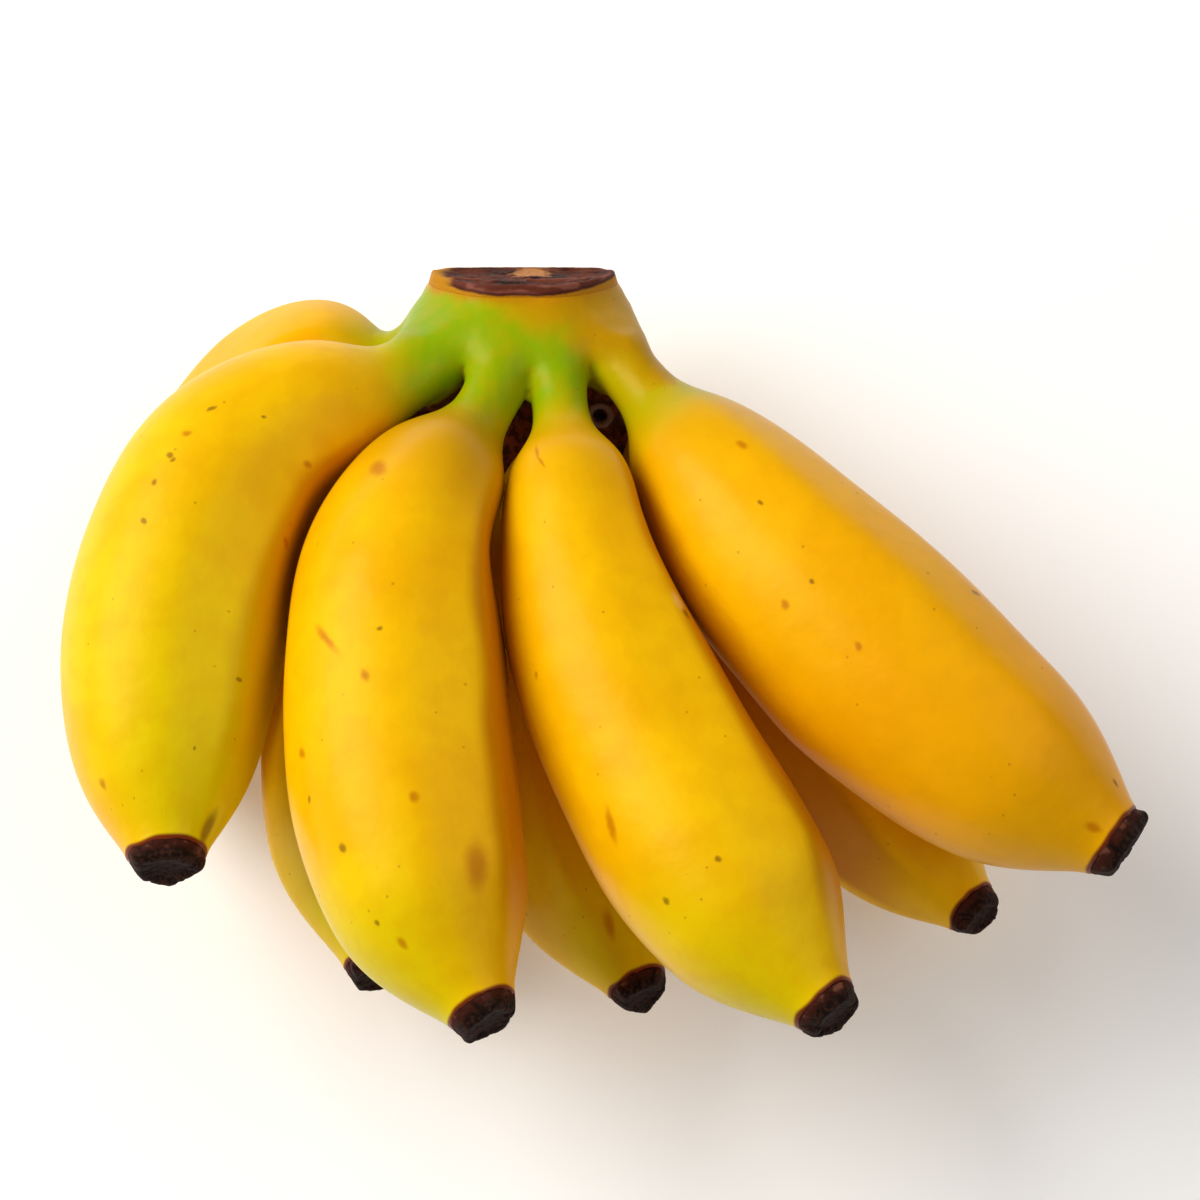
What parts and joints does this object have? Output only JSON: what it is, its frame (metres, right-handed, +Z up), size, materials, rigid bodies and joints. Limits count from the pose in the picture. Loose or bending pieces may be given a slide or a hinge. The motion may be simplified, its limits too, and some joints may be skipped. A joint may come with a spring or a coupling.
{
  "type": "hand of apple bananas",
  "caption": "Hand of short, plump apple bananas in two nested rows on a green crown with a dark cut, lying on its lower fingers, with dried brown blossom ends.",
  "frame": {"origin": "middle of the footprint, on the surface that the lower fingers rest on", "axes": "+Z up, +Y towards the crown's cut, +X across the fan of fingers, to the right when seen from the blossom ends"},
  "size_m": [0.1778, 0.1364, 0.0783],
  "materials": {
    "ripe_skin": "smooth, faintly waxy ripe banana skin, golden yellow",
    "green_neck": "smooth waxy skin, yellow-green",
    "blossom_end": "dry, wrinkled, matte dark brown",
    "dried_cut": "dry fibrous cut, matte brown"
  },
  "bodies": {
    "root": {"crown": "green_neck", "crown_cut": "dried_cut", "finger_front_1": "ripe_skin", "finger_front_2": "ripe_skin", "finger_front_3": "ripe_skin", "finger_front_4": "ripe_skin", "finger_back_1": "ripe_skin", "finger_back_2": "ripe_skin", "finger_back_3": "ripe_skin", "finger_back_4": "ripe_skin", "tip_front_1": "blossom_end", "tip_front_2": "blossom_end", "tip_front_3": "blossom_end", "tip_front_4": "blossom_end", "tip_back_1": "blossom_end", "tip_back_2": "blossom_end", "tip_back_3": "blossom_end", "tip_back_4": "blossom_end"}
  },
  "joints": []
}
